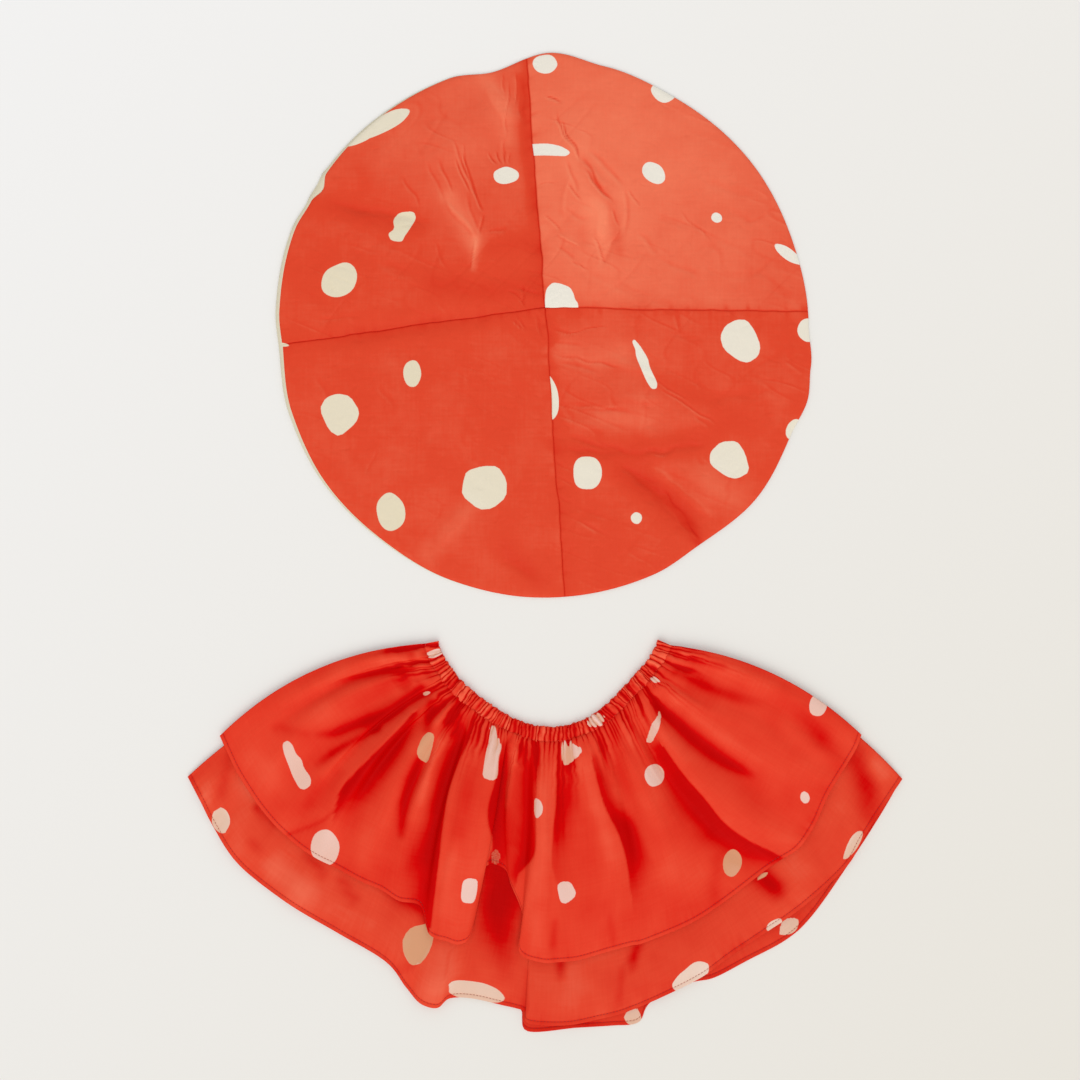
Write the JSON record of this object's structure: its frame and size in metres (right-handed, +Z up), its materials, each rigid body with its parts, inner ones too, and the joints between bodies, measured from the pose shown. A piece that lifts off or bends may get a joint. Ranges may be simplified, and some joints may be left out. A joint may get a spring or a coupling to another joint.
{
  "type": "mushroom costume set",
  "caption": "Round spotted mushroom cap of quartered silk over a plain underside, with a tiered gathered skirt on an elastic waist, laid flat as a set.",
  "frame": {"origin": "on the surface the set rests on, under the middle of the whole set", "axes": "+Z up out of the surface, +Y from the skirt towards the top of the cap, +X to the right of the set seen from above"},
  "size_m": [0.6426, 0.88, 0.0195],
  "materials": {
    "red_silk": "soft satin",
    "cream_silk": "soft satin"
  },
  "bodies": {
    "root": {"crown_panel_top_right": "red_silk", "crown_panel_top_left": "red_silk", "crown_panel_bottom_left": "red_silk", "crown_panel_bottom_right": "red_silk", "cap_underside": "cream_silk", "cap_head_casing": "cream_silk", "waist_casing_back": "red_silk", "waist_casing_front": "red_silk", "outer_tier_back": "red_silk", "inner_tier_back": "red_silk", "inner_tier_front": "red_silk", "outer_tier_front": "red_silk"}
  },
  "joints": []
}
